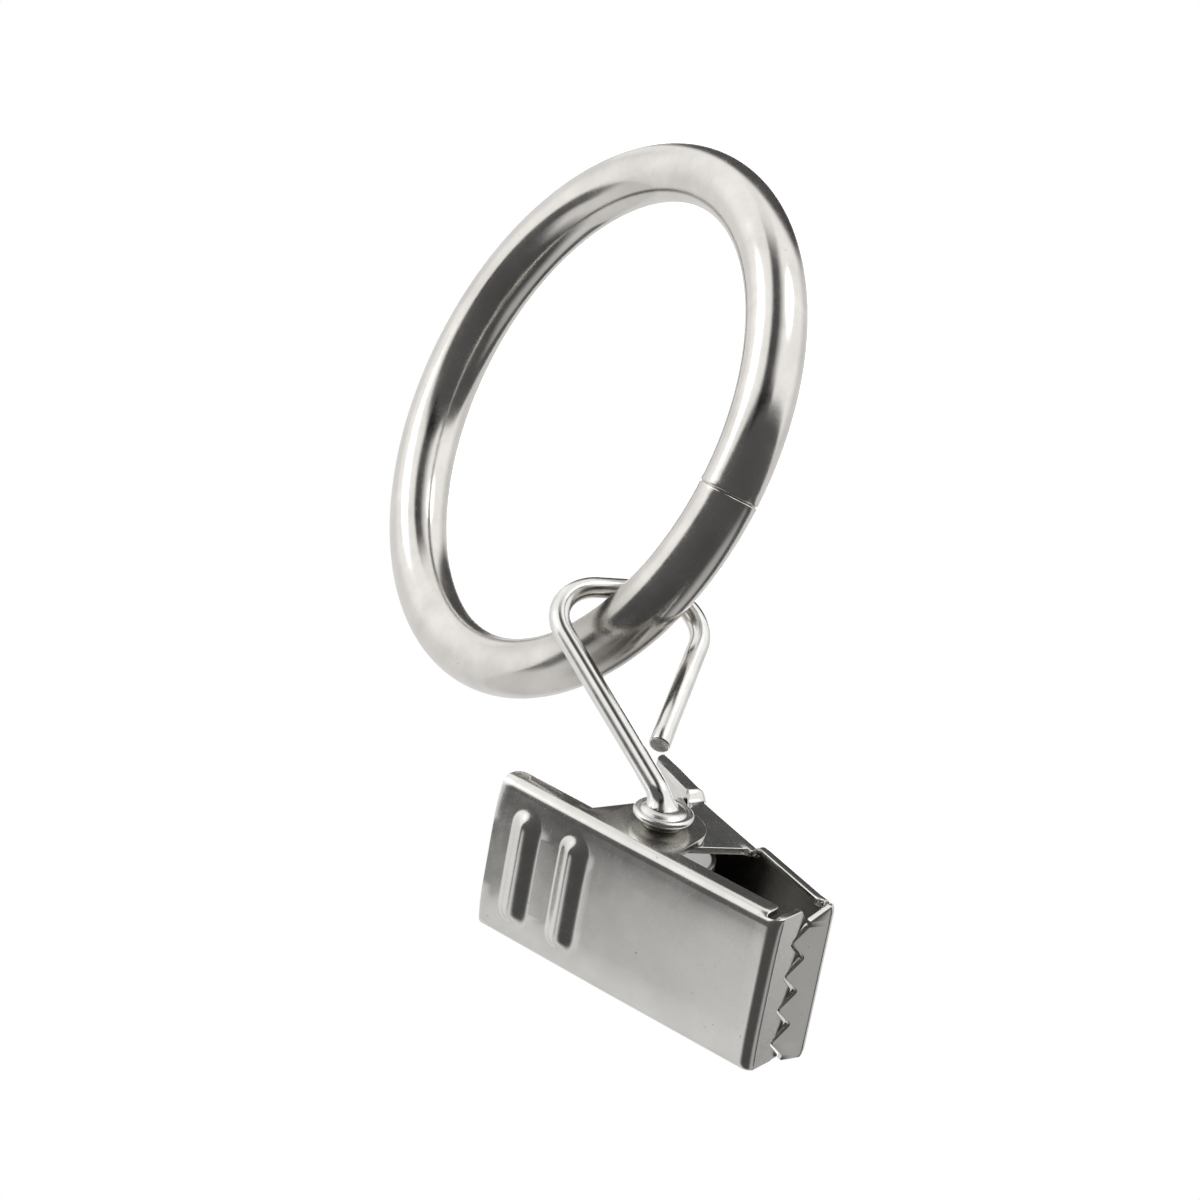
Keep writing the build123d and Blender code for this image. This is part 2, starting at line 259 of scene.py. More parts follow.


# darker, duller patches round these points, in millimetres at rest: on the ring and on the hook a darker patch, on
# the ear painted shadow round the rivet head
darkPatches = {
    "ring": {"at": (2.6, -0.3, -18.6), "inner": 2.6, "outer": 6.5, "ragged": 1.6, "share": 0.62,
             "tint": (0.30, 0.28, 0.25), "dull": 0.12},
    # painted shadow: a dark disc on the ear under the rivet's rolled rim, fading out just past it
    "ear": {"at": (5.66, 1.27, -33.93), "inner": 1.9, "outer": 3.1, "ragged": 0.5, "share": 0.72,
            "tint": (0.20, 0.19, 0.17), "dull": 0.18},
    "hook": {"at": (9.6, 3.9, -30.1), "inner": 0.75, "outer": 1.35, "ragged": 0.3, "share": 0.85,
             "tint": (0.16, 0.15, 0.135), "dull": 0.30},
}
ringNickel = nickelFinish("ringNickel", nickelLook["ring"], pits=0.45, scuffs=0.10, darkPatch=darkPatches["ring"])
hookNickel = nickelFinish("hookNickel", nickelLook["hook"], scuffs=0.06, darkPatch=darkPatches["hook"])
plateNickel = nickelFinish("plateNickel", nickelLook["plate"], pits=0.55, scuffs=0.10, darkPatch=darkPatches["ear"])
plateLining = nickelFinish("plateLining", nickelLook["lining"], pits=0.3, shine=0.5)
rivetNickel = nickelFinish("rivetNickel", nickelLook["rivet"], scuffs=0.05)
springSteel = nickelFinish("springSteel", nickelLook["spring"], turn=(0.3, 0.6, 0.2), stretch=(0.4, 3.0, 1.0))
print("materials made")


# ring: round wire bent to a circle, its two ends butted at the seam
ringSizes = {
    "radius": 18.8, "wire": 4.3, "seamAt": 47.5, "seamDepth": 0.13, "seamHalf": 0.07,
    "step": 0.05, "stepRun": 2.2, "stepWay": (0.6, 0, 0.8), "burr": 0.02, "burrAt": 0.14, "burrWidth": 0.06,
    "seamLoops": (0.0, 0.02, 0.05, 0.09, 0.16), "stepFrom": 0.03, "turns": 240, "sides": 56,
}


def makeRing(s):
    bm = bmesh.new()
    ends = bmesh.ops.create_circle(bm, cap_ends=False, radius=s["wire"] / 2, segments=s["sides"])
    bmesh.ops.translate(bm, verts=ends["verts"], vec=(s["radius"], 0, 0))
    bmesh.ops.rotate(bm, verts=bm.verts, cent=(0, 0, 0), matrix=Matrix.Rotation(math.pi / 2, 3, "X"))
    bmesh.ops.spin(bm, geom=bm.edges[:], cent=(0, 0, 0), axis=(0, 0, 1), angle=2 * math.pi, steps=s["turns"],
                   use_merge=True)
    for side in (-1, 1):            # loops close to the seam, which lies on the +X side
        for away in s["seamLoops"]:
            cutAt(bm, (0, side * away, 0), (0, 1, 0))
    for v in bm.verts:
        if v.co.x < 0:
            continue
        middle = Vector((v.co.x, v.co.y, 0)).normalized() * s["radius"]
        out = v.co - middle
        dip = s["seamDepth"] * max(0.0, 1 - abs(v.co.y) / s["seamHalf"])
        burr = s["burr"] * math.exp(-((abs(v.co.y) - s["burrAt"]) / s["burrWidth"]) ** 2)
        step = s["step"] * math.exp(-v.co.y / s["stepRun"]) if v.co.y > s["stepFrom"] else 0
        v.co = middle + out.normalized() * (out.length - dip + burr) + Vector(s["stepWay"]) * step
    bmesh.ops.recalc_face_normals(bm, faces=bm.faces)
    # the circle lies in XY here: stand it up round Y, seam turned from the lowest point toward +X
    for angle, axis in ((90, "X"), (90 - s["seamAt"], "Y")):
        bmesh.ops.rotate(bm, verts=bm.verts, cent=(0, 0, 0), matrix=Matrix.Rotation(math.radians(angle), 3, axis))
    return setDown(bm, "ringWire", "ring", "ring", ringPlace, ringNickel)


makeRing(ringSizes)


# hook: one wire bent to a triangle, the long leg turned into the rivet and headed at its far end
hookSizes = {
    "wire": 1.45, "sides": 32, "ringRadius": 18.8, "ringWire": 4.3, "seat": 0.04, "hangAt": 12.1,
    "barYaw": 25.5, "barSlope": 1.3, "barLeft": 6.31, "barRight": 7.02, "corner": 3.2,
    "footDrop": 17.67, "footShift": 0.45, "footBend": 2.1, "shortLeg": 14.8, "shortAngle": 63.2,
    "footNear": 0.35, "tailLength": 13.55, "headRadius": 2.05, "headHeight": 0.75, "bendStep": 3.0,
    "cone": 0.5, "coneAt": 7.01, "coneRise": 0.85, "coneShare": 0.9, "footReach": 2.5,
    "sheared": ((0.03, 0.94), (0.09, 1.0)), "shearedFlat": 0.80, "legSteps": 8,
    "headLip": 0.06, "headEdge": 0.05, "headWall": (0.05, 0.12, 0.08), "headRoot": 0.1, "domeSteps": 8,
}


def growOn(bm, ring):
    grown = bmesh.ops.extrude_edge_only(bm, edges=ring)["geom"]
    verts = [g for g in grown if isinstance(g, bmesh.types.BMVert)]
    return verts, [g for g in grown if isinstance(g, bmesh.types.BMEdge)]


# the wire's open end goes straight on
def wireRun(bm, ring, length, along, steps):
    for i in range(steps):
        verts, ring = growOn(bm, ring)
        bmesh.ops.translate(bm, verts=verts, vec=along * (length / steps))
    return ring


# the wire's open end is bent round from one direction to the next
def wireBend(bm, ring, corner, into, out, radius, stepAngle):
    turn = into.angle(out)
    axis = into.cross(out).normalized()
    centre = corner + (out - into).normalized() * (radius / math.cos(turn / 2))
    steps = max(4, int(math.degrees(turn) / stepAngle))
    spun = bmesh.ops.spin(bm, geom=ring, cent=centre, axis=axis, angle=turn, steps=steps, use_merge=False)
    return [g for g in spun["geom_last"] if isinstance(g, bmesh.types.BMEdge)]


# the open end grows a collar of another radius
def ringGrow(bm, ring, centre, along, advance, radius):
    verts, ring = growOn(bm, ring)
    now = (verts[0].co - centre).length
    for v in verts:
        v.co = centre + along * advance + (v.co - centre) * (radius / now)
    return ring, centre + along * advance


def makeHook(s):
    hang = Matrix.Rotation(math.radians(-s["hangAt"]), 3, "Y")
    yaw, slope = math.radians(s["barYaw"]), math.radians(s["barSlope"])
    bar = hang @ Vector((math.sin(yaw) * math.cos(slope), math.cos(yaw) * math.cos(slope), math.sin(slope)))
    contact = hang @ Vector((0, 0, -(s["ringRadius"] - s["ringWire"] / 2 - s["wire"] / 2 - s["seat"])))
    foot = contact + hang @ Vector((0, s["footShift"], -s["footDrop"])) - clipAcross * s["footNear"]
    longCorner, shortCorner = contact - bar * s["barLeft"], contact + bar * s["barRight"]
    down = foot - longCorner
    down = (down - bar * down.dot(bar)).normalized()
    lean = math.radians(s["shortAngle"])
    shortEnd = shortCorner + (down * math.sin(lean) - bar * math.cos(lean)) * s["shortLeg"]
    tail = foot - clipAcross * s["tailLength"]
    spots = [shortEnd, shortCorner, longCorner, foot, tail]
    ways = [(b - a).normalized() for a, b in zip(spots, spots[1:])]
    bends = [s["corner"], s["corner"], s["footBend"]]
    takes = [r * math.tan(a.angle(b) / 2) for r, a, b in zip(bends, ways, ways[1:])]
    bm = bmesh.new()
    wireRadius = s["wire"] / 2
    bmesh.ops.create_circle(bm, cap_ends=True, radius=wireRadius * s["shearedFlat"], segments=s["sides"])
    bmesh.ops.transform(bm, matrix=ways[0].to_track_quat("Z", "Y").to_matrix().to_4x4(), verts=bm.verts)
    bmesh.ops.translate(bm, verts=bm.verts, vec=shortEnd)
    ring, at = bm.edges[:], shortEnd.copy()
    for advance, share in s["sheared"]:      # sheared end, its edge a little rounded
        ring, at = ringGrow(bm, ring, at, ways[0], advance, wireRadius * share)
    used = sum(advance for advance, share in s["sheared"])
    for i, way in enumerate(ways):
        end = takes[i] if i < len(takes) else 0
        length = (spots[i + 1] - spots[i]).length - used - end
        ring = wireRun(bm, ring, length, way, s["legSteps"])
        if i < len(bends):
            ring = wireBend(bm, ring, spots[i + 1], way, ways[i + 1], bends[i], s["bendStep"])
            used = takes[i]
    axis = ways[2].cross(ways[3]).normalized()
    turn = ways[2].angle(ways[3])
    middle = foot + (ways[3] - ways[2]).normalized() * (bends[2] / math.cos(turn / 2))
    pivot = pivotSpot / mm
    for level in (s["coneAt"], s["coneAt"] - 0.02):      # a loop at the cone's foot, one just below it
        cutAt(bm, pivot + clipAcross * level, clipAcross)
    for v in bm.verts:              # the foot is upset into a small cone where it stands on the rivet
        offset = v.co - middle
        inPlane = offset - axis * offset.dot(axis)
        if (v.co - foot).length > s["footReach"]:
            continue
        line = middle + inPlane.normalized() * bends[2]
        if (v.co - foot).dot(ways[3]) > takes[2]:
            line = foot + ways[3] * (v.co - foot).dot(ways[3])
        rise = (v.co - pivot).dot(clipAcross) - s["coneAt"]
        if -0.001 < rise < s["coneRise"]:
            out = v.co - line
            out -= clipAcross * out.dot(clipAcross) * s["coneShare"]
            v.co += out * (s["cone"] * (1 - max(rise, 0) / s["coneRise"]) ** 2)
    way, at, head = ways[-1], tail.copy(), s["headRadius"]
    dome, wall = head - s["headEdge"], s["headWall"]
    for advance, radius in ((0.0, wireRadius + s["headRoot"]), (0.0, head - s["headLip"]), (wall[0], head),
                            (wall[1], head), (wall[2], dome)):
        ring, at = ringGrow(bm, ring, at, way, advance, radius)
    left = s["headHeight"] - sum(wall)
    turns = [math.pi / 2 * k / s["domeSteps"] for k in range(s["domeSteps"])]
    for before, angle in zip(turns, turns[1:]):          # low dome of the upset head
        rise = left * (math.sin(angle) - math.sin(before))
        ring, at = ringGrow(bm, ring, at, way, rise, dome * math.cos(angle))
    bmesh.ops.contextual_create(bm, geom=ring)
    bmesh.ops.recalc_face_normals(bm, faces=bm.faces)
    return setDown(bm, "hookWire", "hook", "wire_hook", ringPlace, hookNickel)


makeHook(hookSizes)


# front jaw: a blank with ears and a toothed lip, folded down both long sides and at the jaw end
frontSizes = {
    "width": 11.5, "sheet": 0.5, "fold": 0.8, "face": 4.15, "thumb": 10.5, "jaw": 12.7, "side": 1.75,
    "level": 1.15, "pitch": 2.5, "tooth": 1.2, "toothGap": 0.2, "earNose": 2.95, "earThumb": 4.1, "earJaw": 3.2,
    "hole": 1.27, "lipHalf": 5.62, "relief": 0.28, "ribLength": 8.3, "ribWidth": 2.0, "ribRise": 0.52,
    "ribAt": (7.7, 3.6), "ribFoot": 0.32, "ribPower": 0.9, "ribStep": 0.13, "edgeRound": 0.06, "wave": 0.02,
    "waveRun": (0.28, 0.22), "waveSeed": 3.1, "crown": 0.12, "toothShift": -0.44, "corner": 0.8,
    "cornerSteps": 6, "earSteps": 12, "holeSteps": 16, "foldSteps": 8,
    "acrossCuts": (0, 1, 2), "ribEndFrom": 2.8, "ribEndStep": 0.17, "ribEndCount": 11,
    "alongCuts": (-11, -9.5, -8, -6.5, -5, -3.5, -2, -0.7, 0.7, 1.8, 9.6),
    "sideCorner": ((0, 0.35), (-0.1, 0.1), (-0.35, 0)), "lipRoot": ((0.12, 0), (-0.02, -0.1)), "rootRise": 0.05,
    "lipCorner": ((0, 0.38), (-0.06, 0.2)),
}


# (x, height) across one row of teeth, each point blunted by four corners: (beside it, back from it)
def toothLine(half, pitch, tooth, level, shift, endCut=0.0):
    blunting, inset = ((-0.16, 0.121), (-0.06, 0.0605), (0.06, 0.0605), (0.16, 0.121)), 0.02
    line = []
    count = int(half / (pitch / 2)) + 1
    for i in range(-count, count + 1):
        swing = -1 if i % 2 == 0 else 1
        x, z = i * pitch / 2 + shift, level + swing * tooth / 2
        line += [(x + beside, z - swing * back) for beside, back in blunting]
    return [p for p in line if inset - half < p[0] < half - inset - endCut]


def makeFrontJaw(s):
    half, fold, face = s["width"] / 2, s["fold"], s["face"]
    flat = half - fold
    bend = fold * math.pi / 2
    edge = -s["jaw"] + fold
    sideU = lambda z: flat + bend + (face - fold - z)     # the blank's u for a height on a folded side
    lipV = lambda z: edge - bend - (face - fold - z)
    holeU, sideEdgeU = sideU(0), sideU(face - s["side"])
    level = s["level"] + s["toothGap"] / 2
    teeth = [(x, lipV(z)) for x, z in toothLine(s["lipHalf"], s["pitch"], s["tooth"], level, s["toothShift"])]
    sideStart = edge + s["relief"]
    jawTouch = tangent((holeU - sideEdgeU, -s["earJaw"]), (0, 0), s["earNose"], -1) % 360 - 360
    thumbTouch = tangent((holeU - sideEdgeU, s["earThumb"]), (0, 0), s["earNose"], 1) % 360

    def ear(start, end):            # angles from the plate's side round to the nose, in the blank
        return [(holeU - u, v) for u, v in arc((0, 0), s["earNose"], start, end, s["earSteps"])]

    rightLow = arc((holeU, 0), s["hole"], 180, 360, s["holeSteps"]) + \
        ear(-180, jawTouch) + [(sideEdgeU, -s["earJaw"])] + \
        [(sideEdgeU + u, sideStart + v) for u, v in s["sideCorner"]] + \
        [(s["lipHalf"] + u, sideStart + v) for u, v in s["lipRoot"]] + [(s["lipHalf"], edge - s["rootRise"])] + \
        [(s["lipHalf"] + u, lipV(s["level"] + z)) for u, z in s["lipCorner"]]
    low = rightLow + teeth[::-1] + [(-u, v) for u, v in rightLow[::-1]]
    corner = s["corner"]
    rightHigh = arc((holeU, 0), s["hole"], 180, 0, s["holeSteps"]) + \
        ear(180, thumbTouch) + [(sideEdgeU, s["earThumb"])] + \
        arc((sideEdgeU - corner, s["thumb"] - corner), corner, 0, 90, s["cornerSteps"])
    high = rightHigh + [(-u, v) for u, v in rightHigh[::-1]]
    rounds = [bend * k / s["foldSteps"] for k in range(s["foldSteps"] + 1)]
    across = list(s["acrossCuts"]) + [s["ribEndFrom"] + s["ribEndStep"] * k for k in range(s["ribEndCount"])]
    across += [flat + part for part in rounds]
    along = [y + s["ribStep"] * k for y in s["ribAt"] for k in range(-10, 11)]
    along += [edge - part for part in rounds] + list(s["alongCuts"])
    bm = cutSheet([low, high], s["sheet"], s["edgeRound"], sorted(set(across + [-u for u in across])), along)
    reach, slow = s["ribWidth"] / 2 + s["ribFoot"], s["waveRun"]
    for v in bm.verts:
        u, y, w = v.co
        wide = abs(u)
        if wide <= flat:
            x, c = wide, fold + w
        elif wide <= flat + bend:
            turn = (wide - flat) / fold
            x, c = flat + (fold + w) * math.sin(turn), (fold + w) * math.cos(turn)
        else:
            x, c = half + w, -(wide - flat - bend)
        rib = 0.0
        for at in s["ribAt"]:
            far = math.hypot(max(wide - (s["ribLength"] - s["ribWidth"]) / 2, 0), y - at) / reach
            if far < 1:
                rib = s["ribRise"] * (0.5 + 0.5 * math.cos(math.pi * far)) ** s["ribPower"]
        swell = noise.noise(Vector((u * slow[0], y * slow[1], s["waveSeed"])))
        ripple = s["wave"] * swell if wide < flat else 0
        ripple -= s["crown"] * min(wide / flat, 1) ** 4 * (1 + max(0, y / s["thumb"]))
        if y >= edge:
            z = face - fold + c
        else:
            turn = min((edge - y) / fold, math.pi / 2)
            k = turn / (math.pi / 2)
            x, c = x + (wide - x) * k, c + (fold + w - c) * k
            z = face - fold + c * math.cos(turn) - max(0, edge - bend - y)
            y = edge - c * math.sin(turn)
        v.co = (math.copysign(x, u), y, z + rib + ripple)
    bmesh.ops.recalc_face_normals(bm, faces=bm.faces)
    return setDown(bm, "frontJawPlate", "clip", "front_jaw", clipPlace, plateNickel,
                   flatWay=Vector((0, -1, 0)), lining=(plateLining, Vector((0, 0, -1))))


makeFrontJaw(frontSizes)


# back jaw: a trough whose sides step in to two ears; shaped on its own outer face, depth into the clip
backSizes = {
    "width": 11.5, "sheet": 0.5, "away": 5.8, "tilt": 19.3, "jaw": 12.5, "fold": 0.7, "earHalf": 5.15,
    "side": 1.05, "tabSide": 1.5, "earFrom": 3.8, "earTo": 2.9, "joggle": 0.8, "earNose": 2.0, "hole": 1.3,
    "lipFold": 0.6, "lipHalf": 5.66, "pitch": 2.5, "tooth": 1.2, "toothGap": 0.2, "level": 1.15, "relief": 0.25,
    "toothShift": -0.44, "endCut": 0.85, "chamfer": 2.0, "farChamfer": 0.5, "edgeRound": 0.06, "wave": 0.02,
    "waveRun": (0.3, 0.25), "waveSeed": 9.4, "tabBend": 2.6, "tabSoft": 0.5, "flare": 4.9, "tabLength": 6.2,
    # (along, height) on a folded side
    "jawFlank": 0.05, "jawFillet": ((-3.42, 1.55), (-3.52, 1.28), (-3.68, 1.08), (-3.9, 1.0), (-4.2, 1.02)),
    "thumbFlank": 0.3, "thumbFillet": ((2.42, 1.75), (2.6, 1.56), (2.85, 1.5)),
    "sideCorner": ((0.35, 0), (0.1, -0.08), (0, -0.35)), "sideCuts": (-6, -8, -10),
    "lipRoot": ((0.1, 0), (-0.02, -0.08)), "rootRise": 0.2,
    "tabFrom": 1.0, "tabCorner": 0.9, "tabTurns": (20, 40, 60, 78), "tabEnd": ((-0.2, -0.03), (-0.6, 0)),
    "earSteps": 12, "holeSteps": 16, "lipSteps": 6, "cutStep": 0.1, "foldFrom": 4.3, "foldCuts": 21, "runCuts": 10,
    "acrossCuts": (0, 1.3, 2.6, 3.8),
    "jawCuts": (-11, -9.5, -8, -6.5, -5.2), "earCuts": (-2.5, -1.2, 1.2), "tabCuts": (3.6, 4.4, 5.6, 6.8),
}


def ease(t):
    t = min(max(t, 0), 1)
    return t * t * (3 - 2 * t)


# half width to the outside of the side folds, which step in beside the ears
def backSide(s, y):
    half, run = s["width"] / 2, s["joggle"]
    stepIn, stepOut = ease((y + s["earFrom"] + run) / run), ease((s["earTo"] + run - y) / run)
    return half - (half - s["earHalf"]) * stepIn * stepOut


def makeBackJaw(s):
    half, tilt, fold = s["width"] / 2, math.radians(s["tilt"]), s["fold"]
    nose, away, near = s["earNose"], s["away"], s["cutStep"]
    lipTop = (s["level"] - s["toothGap"] / 2 + away * math.cos(tilt) - s["jaw"] * math.sin(tilt)) / math.cos(tilt)
    bend, lipBend = fold * math.pi / 2, s["lipFold"] * math.pi / 2
    edge, start = -s["jaw"] + s["lipFold"], -s["jaw"] + s["sheet"] + s["relief"]
    low, high = -s["earFrom"] - s["joggle"], s["earTo"] + s["joggle"]
    lipV = lambda h: edge - lipBend - (h - s["lipFold"])

    def spot(y, height):            # blank's point for a height on a folded side
        return backSide(s, y) - fold + bend + height - fold, y

    def ear(flank, side):           # from its nose round to where its straight flank leaves it
        touch = tangent((s["sheet"] - away, flank), (0, 0), nose, -side) % 360
        turns = [side * k / s["earSteps"] * min(touch, 360 - touch) for k in range(s["earSteps"] + 1)]
        return [spot(nose * math.sin(math.radians(a)), away + nose * math.cos(math.radians(a))) for a in turns]

    def hole(side):
        return arc((spot(0, away)[0], 0), s["hole"], 0, side * 180, s["holeSteps"])[::-1]

    teeth = toothLine(s["lipHalf"], s["pitch"], s["tooth"], lipTop, s["toothShift"], s["endCut"])
    rightLow = hole(-1) + ear(-s["earFrom"] + s["jawFlank"], -1) + [spot(*place) for place in s["jawFillet"]] + \
        [spot(y, s["side"]) for y in (low, *s["sideCuts"])] + \
        [spot(start + y, s["side"] + height) for y, height in s["sideCorner"]] + \
        [(s["lipHalf"] + u, start + v) for u, v in s["lipRoot"]] + [(s["lipHalf"], edge - s["rootRise"])]
    lip = [(s["lipHalf"], lipTop - s["chamfer"])] + teeth[::-1] + [(-s["lipHalf"], lipTop - s["farChamfer"])]
    lowBlank = rightLow + [(x, lipV(z)) for x, z in lip] + [(-u, v) for u, v in rightLow[::-1]]
    tip, corner, tabSide = s["tabBend"] + s["tabLength"], s["tabCorner"], s["tabSide"]
    tabFrom = tip - s["tabFrom"]
    turns = [math.radians(g) for g in s["tabTurns"]]
    rightHigh = hole(1) + ear(s["earTo"] + s["thumbFlank"], 1) + [spot(*place) for place in s["thumbFillet"]] + \
        [spot(high, tabSide), spot(tabFrom, tabSide)] + \
        [spot(tabFrom + corner * math.sin(a), tabSide - corner * (1 - math.cos(a))) for a in turns] + \
        [(half + u, tip + v) for u, v in s["tabEnd"]]
    highBlank = rightHigh + [(-u, v) for u, v in rightHigh[::-1]]
    across = list(s["acrossCuts"]) + [s["foldFrom"] + near * k for k in range(s["foldCuts"])]
    along = [edge - lipBend * k / s["lipSteps"] for k in range(s["lipSteps"] + 1)] + list(s["jawCuts"])
    along += [low + near * k for k in range(s["runCuts"])] + list(s["earCuts"])
    along += [s["earTo"] - near + near * k for k in range(s["runCuts"] + 1)] + list(s["tabCuts"])
    across = sorted(set(across + [-u for u in across]))
    bm = cutSheet([lowBlank, highBlank], s["sheet"], s["edgeRound"], across, along)
    flare, soft, slow = math.tan(math.radians(s["flare"])), s["tabSoft"], s["waveRun"]
    for v in bm.verts:
        u, y, w = v.co
        wide, deep = abs(u), -w
        side = backSide(s, y)
        swell = noise.noise(Vector((u * slow[0], y * slow[1], s["waveSeed"])))
        ripple = s["wave"] * swell if wide < half - fold else 0
        past = wide - (side - fold)
        if past <= 0:
            x, z = wide, deep + ripple
        elif past <= bend:
            x = side - fold + (fold - deep) * math.sin(past / fold)
            z = fold - (fold - deep) * math.cos(past / fold)
        else:
            x, z = side - deep, fold + past - bend
        if y < edge:
            turn = min((edge - y) / s["lipFold"], math.pi / 2)
            k, rest = turn / (math.pi / 2), max(0, edge - lipBend - y)
            x, z = x + (wide - x) * k, z + (deep - z) * k
            y = edge - (s["lipFold"] - z) * math.sin(turn)
            z = s["lipFold"] - (s["lipFold"] - z) * math.cos(turn) + rest
        past = y - s["tabBend"]
        if past > -soft:            # the tab leans out a little, past a soft bend
            z -= flare * (past if past > soft else (past + soft) ** 2 / (4 * soft))
        v.co = (math.copysign(x, u), y, z)
    bmesh.ops.recalc_face_normals(bm, faces=bm.faces)
    lean, upright = math.sin(tilt), math.cos(tilt)
    stand = Matrix(((1, 0, 0), (0, upright, lean), (0, -lean, upright))).to_4x4()
    stand.translation = Vector((0, -away * lean, -away * upright))
    return setDown(bm, "backJawPlate", "jaw", "back_jaw", clipPlace @ stand, plateNickel,
                   flatWay=Vector((0, -1, 0)), lining=(plateLining, Vector((0, 0, 1))))


makeBackJaw(backSizes)


# hollow rivet: flange, tube, rolled rim and the mound that the wire stands on, turned from one profile
rivetSizes = {
    "half": 5.75, "tube": 1.25, "bore": 0.795, "flange": 1.8, "flangeThick": 0.35, "bell": 2.05, "rimFrom": 6.30,
    "rimTo": 6.80, "crestAt": 7.0, "seat": 0.02, "steps": 72, "rollTurns": (170, 10, 10),
    # each part of the profile: where it starts, the radius that it is measured from, (along, out) from there
    "before": (
        ("end", "bore", ((0, 0.02),)),
        ("end", "flange", ((0, -0.16), (0.05, -0.05), (0.16, 0))),
        ("flangeIn", "flange", ((-0.04, 0), (0, -0.04))),
        ("flangeIn", "tube", ((0, 0),)),
        ("rimIn", "tube", ((0, 0), (0, 0.14), (0.06, 0.18), (0.14, 0.19), (0.22, 0.27))),
        ("rollLow", "bell", ((-0.12, -0.42), (-0.02, -0.26))),
    ),
    "after": (
        ("rollHigh", "bell", ((-0.02, -0.34), (-0.05, -0.41), (-0.045, -0.47), (0.01, -0.54), (0.08, -0.63),
                              (0.14, -0.74), (0.175, -0.86))),
        ("crest", "bell", ((0, -0.98), (0, -1.16))),
        ("crest", "bore", ((-0.08, 0.04), (-0.3, 0))),
        ("end", "bore", ((0.08, 0),)),
    ),
}


def makeRivet(s):
    near, low, high = s["half"] + s["seat"], s["rimFrom"], s["rimTo"]
    starts = {"end": -s["half"] - s["flangeThick"], "flangeIn": -near, "rimIn": near,
              "rollLow": low, "rollHigh": high, "crest": s["crestAt"]}

    def outline(parts):
        return [(starts[start] + x, s[radius] + out) for start, radius, offsets in parts for x, out in offsets]

    roll = arc(((low + high) / 2, s["bell"] - (high - low) / 2), (high - low) / 2, *s["rollTurns"])
    profile = outline(s["before"]) + roll + outline(s["after"])
    bm = bmesh.new()
    loop = [bm.verts.new((x, r, 0)) for x, r in profile]
    for a, b in zip(loop, loop[1:] + loop[:1]):
        bm.edges.new((a, b))
    bmesh.ops.spin(bm, geom=bm.edges[:], cent=(0, 0, 0), axis=(1, 0, 0), angle=2 * math.pi, steps=s["steps"],
                   use_merge=True)
    bmesh.ops.recalc_face_normals(bm, faces=bm.faces)
    return setDown(bm, "hollowRivet", "clip", "pivot_rivet", clipPlace, rivetNickel)


makeRivet(rivetSizes)


# spring: a flat strip bent to a U round the rivet
springSizes = {
    "sheet": 0.35, "width": 8.4, "inner": 3.65, "seat": 0.03, "bend": 3.1, "middle": -1.1, "frontReach": 7.0,
    "backReach": 5.6, "backSheet": 0.5, "away": 5.8, "tilt": 19.3, "tabBend": 2.6, "flare": 4.9, "edgeRound": 0.05,
    "bendFrom": 1.4, "bendTo": -2.6, "corner": ((0, 0.5), (0.12, 0.12), (0.5, 0)), "bendSteps": 22,
}


def makeSpring(s):
    t, r, tilt = s["sheet"] / 2, s["bend"], math.radians(s["tilt"])
    top = s["inner"] - s["seat"] - t
    centre = Vector((s["middle"], top - r))
    lift = s["backSheet"] + s["seat"] - (s["backReach"] - s["tabBend"]) * math.tan(math.radians(s["flare"]))
    end = Vector((math.sin(tilt), math.cos(tilt))) * (lift - s["away"]) + \
        Vector((math.cos(tilt), -math.sin(tilt))) * s["backReach"]
    reach = end - centre
    last = math.atan2(reach.y, reach.x) - math.acos((r + t) / reach.length)
    turn = last + 2 * math.pi - math.pi / 2
    arm = Vector((-math.sin(last), math.cos(last)))
    front, curve, run = s["frontReach"] - s["middle"], r * turn, reach.dot(arm)
    total, half = front + curve + run, s["width"] / 2
    right = [(half - u, v) for u, v in s["corner"]]
    blank = [(u, total - v) for u, v in right] + [(-u, total - v) for u, v in right[::-1]] + \
        [(-u, v) for u, v in right] + right[::-1]
    cuts = [front + curve * k / s["bendSteps"] for k in range(s["bendSteps"] + 1)]
    bm = cutSheet([blank], s["sheet"], s["edgeRound"], [-2, 0, 2], cuts)
    for v in bm.verts:
        x, along, w = v.co
        off = w + t                 # outside of the bend is positive
        if along <= front:
            y, z = s["frontReach"] - along, top + off
        elif along <= front + curve:
            angle = math.pi / 2 + (along - front) / r
            y, z = centre + Vector((math.cos(angle), math.sin(angle))) * (r + off)
        else:
            y, z = centre + Vector((math.cos(last), math.sin(last))) * (r + off) + arm * (along - front - curve)
        v.co = (x, y, z)
    bmesh.ops.recalc_face_normals(bm, faces=bm.faces)
    return setDown(bm, "stripSpring", "clip", "spring", clipPlace, springSteel,
                   bendsTo=("jaw", (0, 0, s["bendFrom"]), (0, 0, s["bendTo"])))


makeSpring(springSizes)


# camera where the photograph was taken from, turned to the object
cameraSizes = {"spot": (0.173485, -0.157478, -0.151406), "aim": (0.0005, 0.0005, -0.0150), "lens": 118.0}


def makeCamera(s):
    data = bpy.data.cameras.new("photoCamera")
    camera = bpy.data.objects.new("photoCamera", data)
    bpy.context.scene.collection.objects.link(camera)
    camera.location = s["spot"]
    camera.rotation_mode = "QUATERNION"
    camera.rotation_quaternion = (Vector(s["aim"]) - Vector(s["spot"])).to_track_quat("-Z", "Y")
    data.sensor_width, data.lens = 36.0, s["lens"]
    data.clip_start, data.clip_end = 0.01, 20.0
    bpy.context.scene.camera = camera


makeCamera(cameraSizes)
